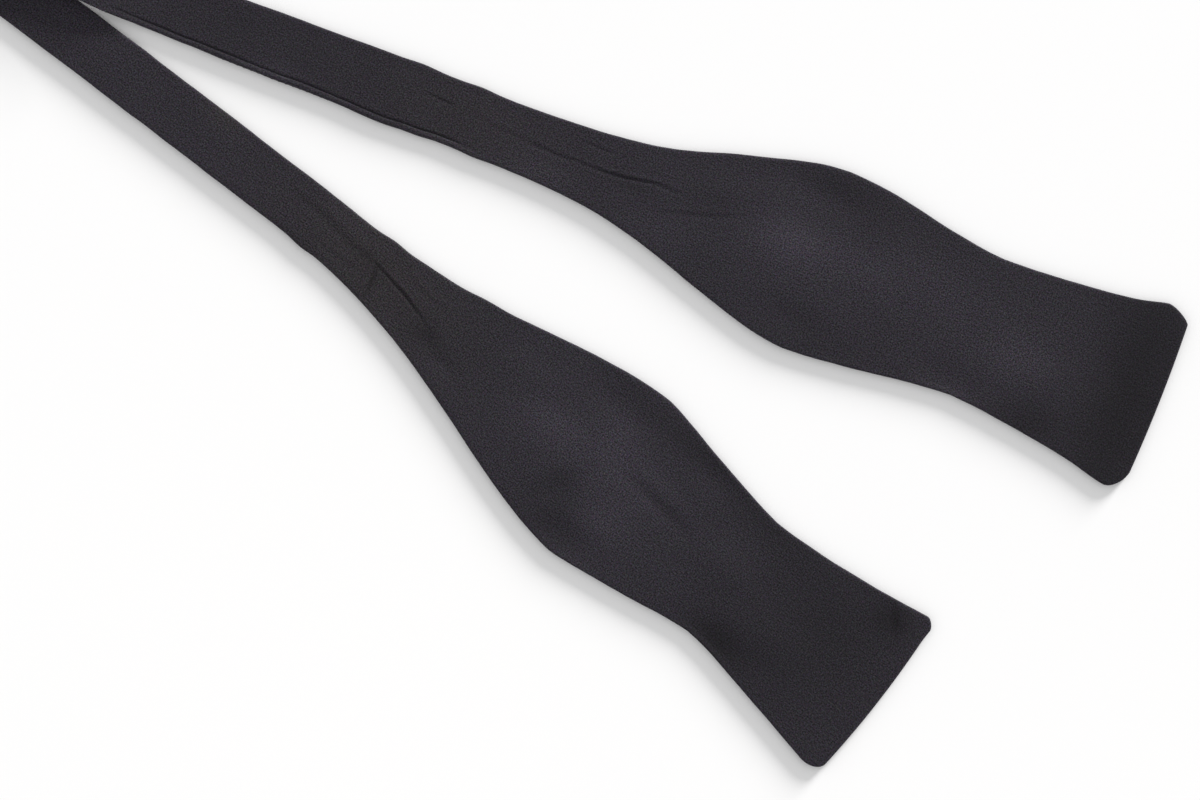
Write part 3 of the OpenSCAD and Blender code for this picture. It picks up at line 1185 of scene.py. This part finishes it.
@dataclass
class Strap:
    """Bare strap at the back of the neck, threaded through the slider, and the left band's end loop."""

    wire: float = 0.72
    gap: float = 0.08
    ply: float = 0.6
    slider_x: float = 52.0
    tab: float = 6.0
    tab_rise: float = 0.2
    clear: float = 0.3
    bight: float = 4.0
    run_end: float = 75.0
    lean: float = 0.6
    leg_t: float = 2.2
    loop_start: float = 4.0
    tack: float = 2.3
    off_table: float = 0.03
    straight: float = 0.25
    turn_points: int = 25
    run_blend: float = 70.0
    bar_z: float = 5.62
    leg_x: float = 74.0
    return_blend: float = 44.0

    @property
    def centre(self) -> float:
        """Radius of the middle of a ply round a bar."""
        return self.wire + self.gap + self.ply / 2.0

    @property
    def middle_z(self) -> float:
        """Height of the slider's middle bar over the strap's own line."""
        return self.wire + self.gap - self.clear - (self.wire + self.gap + self.ply)

    def start_height(self) -> float:
        """Height of the running ply's middle where the leg starts."""
        return self.bar_z + self.centre - self.leg_x * math.tan(math.radians(self.lean))

    def bar(self) -> tuple[float, float, float]:
        """Return the place of the hook's strap bar, in mm."""
        x, y, z = PLACES.joints["strap_fold"]["pos_m"]
        return x / MM, y / MM, z / MM

    def _sew(
        self, name: str, path: list[Array], nodes: tuple[str, str] | tuple[str],
        cloth: Material, bodies: tuple[str, ...], blend_end: float = 0.0,
    ) -> Object:
        """Make one length of strap along its path.

        Args:
            name: Name of the piece.
            path: Runs and turns of its middle line.
            nodes: CAD nodes that it stands for.
            cloth: Material of the strap.
            bodies: The body that it rides on; read only when blend_end is zero.
            blend_end: When not zero, the strap is laid from the hook's bar with its lean and left unattached.

        Returns:
            The strap.
        """
        ribbon = Ribbon(name, np.concatenate(path))
        if blend_end:
            ox, oy, oz = self.bar()
            made = ribbon.lay((ox, oy, oz), self.lean).build(cloth, None, "strap_cloth")
        else:
            made = ribbon.lay((*PLACES.origin, self.off_table), 0.0).build(cloth, bodies[0], "strap_cloth")
        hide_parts(*nodes)
        if blend_end:
            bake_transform(made)
        ribbon.length() * MM
        return made

    def turn_strap(self, cloth: Material) -> Object:
        """Make the turn round the hook's bar and the ply that runs on to the leg.

        Args:
            cloth: Finish of the strap.

        Returns:
            The strap.
        """
        r, ease_in = self.centre, self.straight
        path = [
            line(self.bight, -r, ease_in, -r, 0.6),
            arc(0.0, 0.0, r, 270.0, 90.0, self.turn_points),
            line(ease_in, r, self.run_end, r, 1.0),
        ]
        nodes = ("strap_bight", "strap_running_ply")
        return self._sew("strap_turn_and_run", path, nodes, cloth, ("strap", "right_half"), self.run_blend)

    def return_strap(self, cloth: Material) -> Object:
        """Make the ply that goes back to the slider and turns up round its middle bar.

        Args:
            cloth: Finish of the strap.

        Returns:
            The strap.
        """
        r, x, z = self.centre, self.slider_x, self.middle_z
        end_z = z + self.tab_rise - self.wire - self.gap + self.ply / 2.0
        path = [
            line(self.bight, -r, x - self.straight, z - r, 1.0),
            arc(x, z, r, 270.0, 450.0, self.turn_points),
            line(x - 0.3, z + r - 0.07, x - self.tab, end_z, 0.5),
        ]
        nodes = ("strap_return_ply", "strap_end_loop")
        return self._sew("strap_return", path, nodes, cloth, ("strap", "slider"), self.return_blend)

    def end_loop(self, cloth: Material) -> Object:
        """Make the loop at the left band's end that holds the ring.

        Args:
            cloth: Finish of the strap.

        Returns:
            The loop.
        """
        r, ease_in = self.centre, self.straight
        z = self.leg_t - self.wire - self.gap
        path = [
            line(self.loop_start, z - r, ease_in, z - r, 0.5),
            arc(0.0, z, r, 270.0, 90.0, self.turn_points),
            line(ease_in, z + r, self.loop_start + self.tack, z + r + 0.02, 0.5),
        ]
        return self._sew("ring_loop_cloth", path, ("left_end_loop",), cloth, ("left_half",))


@dataclass
class StitchRow:
    """Row of hand stitches, each a short bowed length of thread."""

    name: str
    body: str
    node: str
    starts: list[tuple[float, float, float]]
    run: tuple[float, float, float]
    up: tuple[float, float, float]
    radius: float = 0.17

    def sew(self, thread: Material) -> Object:
        """Make every stitch of the row as one piece.

        Args:
            thread: Material of the thread.

        Returns:
            The row, riding on its body.
        """
        points: list[Array] = []
        faces: list[list[int]] = []
        run, up = np.array(self.run), np.array(self.up)
        side = np.cross(run, up)
        side = side / np.linalg.norm(side)
        rings, sides = 9, 8
        for start in self.starts:
            base = sum(len(p) for p in points)
            for i in range(rings):
                t = i / (rings - 1)
                swell = self.radius * max(0.35, math.sin(math.pi * t) ** 0.4 if 0 < t < 1 else 0.35)
                spot = np.array(start) + run * t + up * (self.radius * 0.9 * math.sin(math.pi * t) - 0.02)
                a = np.arange(sides) * 2.0 * math.pi / sides
                ring = spot + np.cos(a)[:, None] * side * swell + np.sin(a)[:, None] * up * swell * 0.8
                points.append(ring)
                if i:
                    lo, hi = base + (i - 1) * sides, base + i * sides
                    for k in range(sides):
                        n = (k + 1) % sides
                        faces.append([lo + k, lo + n, hi + n, hi + k])
            faces.append(list(range(base + sides - 1, base - 1, -1)))
            faces.append(list(range(base + (rings - 1) * sides, base + rings * sides)))
        mesh = bpy.data.meshes.new(self.name)
        mesh.from_pydata((np.concatenate(points) * MM).tolist(), [], faces)
        mesh.polygons.foreach_set("use_smooth", np.ones(len(faces), bool))
        made = add_object(self.name, mesh, thread)
        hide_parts(self.node)
        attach(made, self.body)
        return made


@dataclass
class Studio:
    """White table, soft light from one side, and the camera straight above."""

    lens: float = 135.0
    sensor: float = 36.0
    width: float = 402.0
    centre: tuple[float, float] = (311.7, -69.5)
    turn_deg: float = 21.64
    ambient: float = 0.715
    key_from_deg: float = 52.0
    key_rise_deg: float = 13.0
    key_size_deg: float = 16.0
    key_strength: float = 5.6

    def lay_table(self, finish: TableTop) -> Object:
        """Make the table that the tie lies on.

        Args:
            finish: Finish of the table.

        Returns:
            The table.
        """
        half, cells = 3.0, 24
        grid = np.linspace(-half, half, cells + 1)
        points = [(x, y, 0.0) for x in grid for y in grid]
        w = cells + 1
        faces = [
            (i * w + j, (i + 1) * w + j, (i + 1) * w + j + 1, i * w + j + 1)
            for i in range(cells) for j in range(cells)
        ]
        mesh = bpy.data.meshes.new("table")
        mesh.from_pydata(points, [], faces)
        made = add_object("table", mesh, finish.make())
        return made

    def set_camera(self) -> Object:
        """Place the camera over the two blades.

        Returns:
            The camera.
        """
        data = bpy.data.cameras.new("camera")
        data.lens = self.lens
        data.sensor_width = self.sensor
        data.clip_start = 0.01
        data.clip_end = 20.0
        camera = bpy.data.objects.new("camera", data)
        ox, oy = PLACES.origin
        distance = self.width / self.sensor * self.lens
        camera.location = ((self.centre[0] + ox) * MM, (self.centre[1] + oy) * MM, distance * MM)
        camera.rotation_euler = (0.0, 0.0, math.radians(self.turn_deg))
        bpy.context.scene.collection.objects.link(camera)
        bpy.context.scene.camera = camera
        return camera

    def light(self) -> None:
        """Set the even surrounding light and the low soft key."""
        scene = bpy.context.scene
        scene.view_settings.view_transform = "Standard"
        world = bpy.data.worlds.new("surround")
        world.use_nodes = True
        world.node_tree.nodes["Background"].inputs[0].default_value = (1.0, 1.0, 1.0, 1.0)
        world.node_tree.nodes["Background"].inputs[1].default_value = self.ambient
        scene.world = world
        data = bpy.data.lights.new("key", "SUN")
        data.energy = self.key_strength
        data.angle = math.radians(self.key_size_deg)
        data.color = (1.0, 0.99, 0.98)
        key = bpy.data.objects.new("key", data)
        rise = math.radians(90.0 - self.key_rise_deg)
        bearing = math.radians(self.turn_deg + self.key_from_deg)
        key.rotation_euler = (0.0, rise, bearing)
        scene.collection.objects.link(key)


@dataclass
class BowTie:
    """The whole tie, put together in the order a maker would."""

    cloth: FaceCloth = FaceCloth()
    canvas: Canvas = Canvas()
    thread: SewingThread = SewingThread()
    steel: NickelledSteel = NickelledSteel()
    strap: Strap = field(default_factory=Strap)
    row_count: int = 12
    row_span: float = 17.0
    edge_count: int = 16
    edge_pitch: float = 2.5

    # Tables of the legs. Kink: x, edge, height, reach. Crease: points, depth, width, lip, dark (painted
    # shade).
    # Swell: x, y, long, wide, turn, height. Patch: x, y, long, wide, tone (painted light and shade), warm,
    # turn.

    def left_leg(self) -> Leg:
        """Return the left leg, whose band ends in the ring's loop.

        Returns:
            The leg, ready to be sewn.
        """
        pattern = LegPattern(
            band=20, neck=172, fold=308, waist=361, end=424, bow=6,
            spread_deg=17.6, bow_start=25, drift=0, end_bow=1.6, end_bow_y=-8,
            upper=Corner(3.5, 4, 1.4), lower=Corner(7.5, 5.5, 1.9),
            kinks=rows(
                Kink,
                (179, -1, 0.5, 4.5), (203, 1, 0.6, 5), (218, 1, 0.4, 9), (239, 1, 0.4, 6),
                (310, 1, 0.5, 10), (309, -1, 0.5, 9), (362, -1, -1.4, 18),
            ),
        )
        return Leg(
            name="left_leg", pattern=pattern, start=-26, fold_joint="left_tip_fold",
            inner_body="left_half", outer_body="left_tip", seed=21,
            creases=rows(
                Crease,
                (((202, 1.6), (208, 1.1), (216, 0.3), (222, -0.9), (228, -2.4)), 0.28, 0.55, 0.14, 0.22),
                (((207, -10.6), (205.6, -5.5), (203.6, 1.4)), 0.30, 0.95, 0.16, 0.42),
                (((166, 2.3), (180, 2.2), (192, 0.4), (204, 1.6)), 0.12, 1.5, 0.05, 0.10),
                (((212, 5.6), (221, 4.6), (233, 4.9)), 0.06, 1, 0.05),
                (((178, -5.4), (190, -5.9), (200, -4.2)), 0.07, 0.9, 0.05),
                (((291, -24), (297, -13), (302, -5)), 0.22, 3.4, 0.2, 0.05),
                (((312, 4), (324, 3.6), (339, 2.4)), 0.22, 2.3, 0.14, 0.26),
                (((408, 29), (411, 25), (415.5, 20)), 0.2, 1.6, 0.15, 0.06),
            ),
            swells=rows(
                Swell,
                (232, -6.3, 5, 3.5, -20, -0.35), (241, -8.8, 5, 3, 0, -0.3),
                (308, -4, 10, 6, 60, 0.45), (287, 0, 12, 7, 20, 0.35), (310, -25, 13, 5, 0, -0.5),
                (296, 20, 12, 6, 0, -0.35), (334, 23, 15, 5, -8, -0.4), (359, 1, 12, 8, 0, 0.4),
                (383, -6, 14, 8, 10, 0.35), (370, -19, 12, 5, 0, -0.35), (265, 8, 16, 6, 12, 0.3),
                (400, 5, 12, 14, 0, -0.25),
            ),
            # Patches paint light and shade; the first lightens the left band where the raised right band's
            # shadow falls.
            patches=rows(
                Patch,
                (76, 4, 14, 9, 0.20), (205, 0, 38, 20, 0, 0.8), (132, 8, 9, 4, 0.11, 0.7),
                (202, 0.5, 9, 3.2, -0.14), (218, -0.5, 8, 3, -0.11), (230, -6.5, 6, 4, -0.19),
                (190, 8, 12, 4, 0.16), (286, 0, 18, 9, 0.38), (302, 13, 9, 8, 0.22),
                (298, -12, 6, 8, -0.19, 0, 60), (314, -11, 11, 10, 0.30), (318, 5, 14, 7, 0.19),
                (322, 25, 20, 5, -0.22), (304, -26, 14, 5, -0.22), (370, -20, 12, 6, -0.35),
                (395, 0, 34, 40, -0.25), (412, 24, 7, 6, -0.30), (360, 22, 18, 6, -0.14),
            ),
        )

    def right_leg(self) -> Leg:
        """Return the right leg, whose band ends in the strap.

        Returns:
            The leg, ready to be sewn.
        """
        pattern = LegPattern(
            band=22, neck=225, fold=332, waist=390, end=455, bow=2,
            spread_deg=0, bow_start=116, drift=1.4,
            upper=Corner(8, 5.5, 1.35), lower=Corner(6.5, 8.5, 1.7),
            kinks=rows(
                Kink,
                (69.6, 1, -0.95, 7), (69.6, -1, -0.95, 7), (186, 1, 0.4, 5), (207, 1, 0.4, 5),
                (248, 1, 1.15, 24), (290, 1, 0.6, 12), (350, 1, 0.7, 17), (404, 1, 0.55, 22),
                (446, 1, 0.7, 7), (98, -1, -1.2, 30), (178, -1, 1.1, 13), (192, -1, 0.3, 4),
                (212, -1, 0.3, 4), (316, -1, -0.8, 22), (446, -1, 0.7, 7),
            ),
        )
        return Leg(
            name="right_leg", pattern=pattern, start=69.6, fold_joint="right_tip_fold",
            inner_body="right_half", outer_body="right_tip", seed=51,
            seam_from=78, seam_to=214,
            ramp=(self.strap.start_height(), 72, 100),
            creases=rows(
                Crease,
                (((247, 0.6), (256, 0.9), (263, 1.8), (273, 3.7), (283, 3.5)), 0.30, 0.55, 0.14, 0.14),
                (((228, 0.2), (238, 0), (249, 0.7)), 0.14, 0.7, 0.05, 0.12),
                (((190, 2.6), (195, 2.5), (200.5, 2.2)), 0.16, 0.5, 0.08, 0.14),
                (((274, -5.7), (284, -2.6), (295, 1), (306, 5.3)), 0.14, 0.8, 0.07, 0.10),
                (((205, 1.5), (222, 0.4), (240, 0.6)), 0.07, 1, 0.04),
                (((243, 7.6), (250, 7.4), (258, 7.8)), 0.12, 0.6, 0.05, 0.10),
            ),
            swells=rows(
                Swell,
                (321, 1, 14, 8, 10, 0.45), (367, 8, 14, 8, 0, 0.4), (414, -8, 14, 8, 0, 0.35),
                (324, 22, 14, 5, 0, -0.4), (330, -21, 14, 5, 0, -0.4), (389, -19, 12, 5, 0, -0.35),
                (437, 7, 9, 12, 0, -0.3), (296, 10, 14, 5, 15, 0.25),
            ),
            # Patches paint light and shade over the padding.
            patches=rows(
                Patch,
                (130, 2, 50, 20, -0.12), (205, 0, 30, 14, 0.00, 0.45), (140, -8.5, 10, 3, 0.19),
                (235, -7, 12, 5, 0.24), (262, 1, 8, 3, -0.16), (280, -10, 12, 6, 0.14),
                (321, 0.5, 15, 9, 0.43), (350, 3, 18, 9, 0.24), (378, 5, 16, 9, 0.19),
                (405, -4, 13, 12, 0.30), (330, -25, 20, 6, -0.16), (334, 26, 16, 6, -0.14),
                (416, -22, 12, 8, -0.30), (446, 0, 17, 60, -0.43),
            ),
        )

    def sew_legs(self) -> None:
        """Make both legs: cloth outside, canvas inside."""
        cloth, canvas = self.cloth.make(), self.canvas.make()
        for side, leg in (("left", self.left_leg()), ("right", self.right_leg())):
            shells = (f"{side}_front_shell", f"{side}_back_shell",
                      f"{side}_tip_front_shell", f"{side}_tip_back_shell")
            report(leg.sew_faces(cloth, self.cloth.slot, shells))
            cores = (f"{side}_interlining", f"{side}_tip_interlining")
            report(leg.cut_canvas(canvas, self.canvas.slot, cores))
        report(self.strap.turn_strap(cloth))
        report(self.strap.return_strap(cloth))
        report(self.strap.end_loop(cloth))

    def sew_stitches(self) -> None:
        """Make the rows of stitches that hold the loops and close the legs."""
        thread = self.thread.make()
        ox, oy = PLACES.origin
        across = [(i / (self.row_count - 1) - 0.5) * self.row_span for i in range(self.row_count)]
        loop = [(ox + 4.15, oy + y, 2.8) for y in across]
        row = StitchRow("ring_loop_stitches", "left_half", "left_loop_stitch", loop, (1.7, 0, 0), (0, 0, 1))
        report(row.sew(thread))
        low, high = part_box("strap_end_stitch")
        x0, z0, z1 = low.x / MM, low.z / MM, high.z / MM
        tail = [(x0 + 0.1, oy + y, z0 + 0.12) for y in across]
        run = (high.x / MM - x0 - 0.2, 0.0, z1 - z0 - 0.36)
        row = StitchRow("strap_end_stitches", "slider", "strap_end_stitch", tail, run, (0, 0, 1))
        report(row.sew(thread))
        for side, leg, first in (("left", self.left_leg(), -20.0), ("right", self.right_leg(), 121.65)):
            spots = []
            for i in range(self.edge_count):
                x = np.array([first + self.edge_pitch * i])
                px, py, sx, sy = leg.pattern.middle(x)
                y = -float(leg.pattern.border(x, -1)[0]) + 0.12
                place = PLACES.world(leg.crossing + px + sx * y, py + sy * y)[0]
                spots.append((float(place[0]), float(place[1]), leg.half_t))
            row = StitchRow(
                f"{side}_closing_stitches", f"{side}_half", f"{side}_closing_stitch", spots,
                (1.5, 0, 0), (0, -1, 0), 0.15,
            )
            report(row.sew(thread))

    def polish_metal(self) -> None:
        """Give the ring, the hook and the slider their metal."""
        steel = self.steel.make()
        for name in ("ring", "hook", "slider"):
            mesh = frame["nodes"][name].data
            mesh.materials.clear()
            mesh.materials.append(steel)
            LOG.info("%s: metal", name)


def report(piece: Object) -> None:
    """Log a finished piece."""
    LOG.info("%s: %d points", piece.name, len(piece.data.vertices))


def main() -> None:
    """Build the tie, then its table, light and camera."""
    logging.basicConfig(level=logging.INFO, format="%(name)s: %(message)s")
    studio = Studio()
    studio.set_camera()
    studio.light()
    LOG.info("table: %s", studio.lay_table(TableTop()).name)
    tie = BowTie()
    tie.sew_legs()
    tie.sew_stitches()
    tie.polish_metal()


if __name__ == "__main__":
    main()
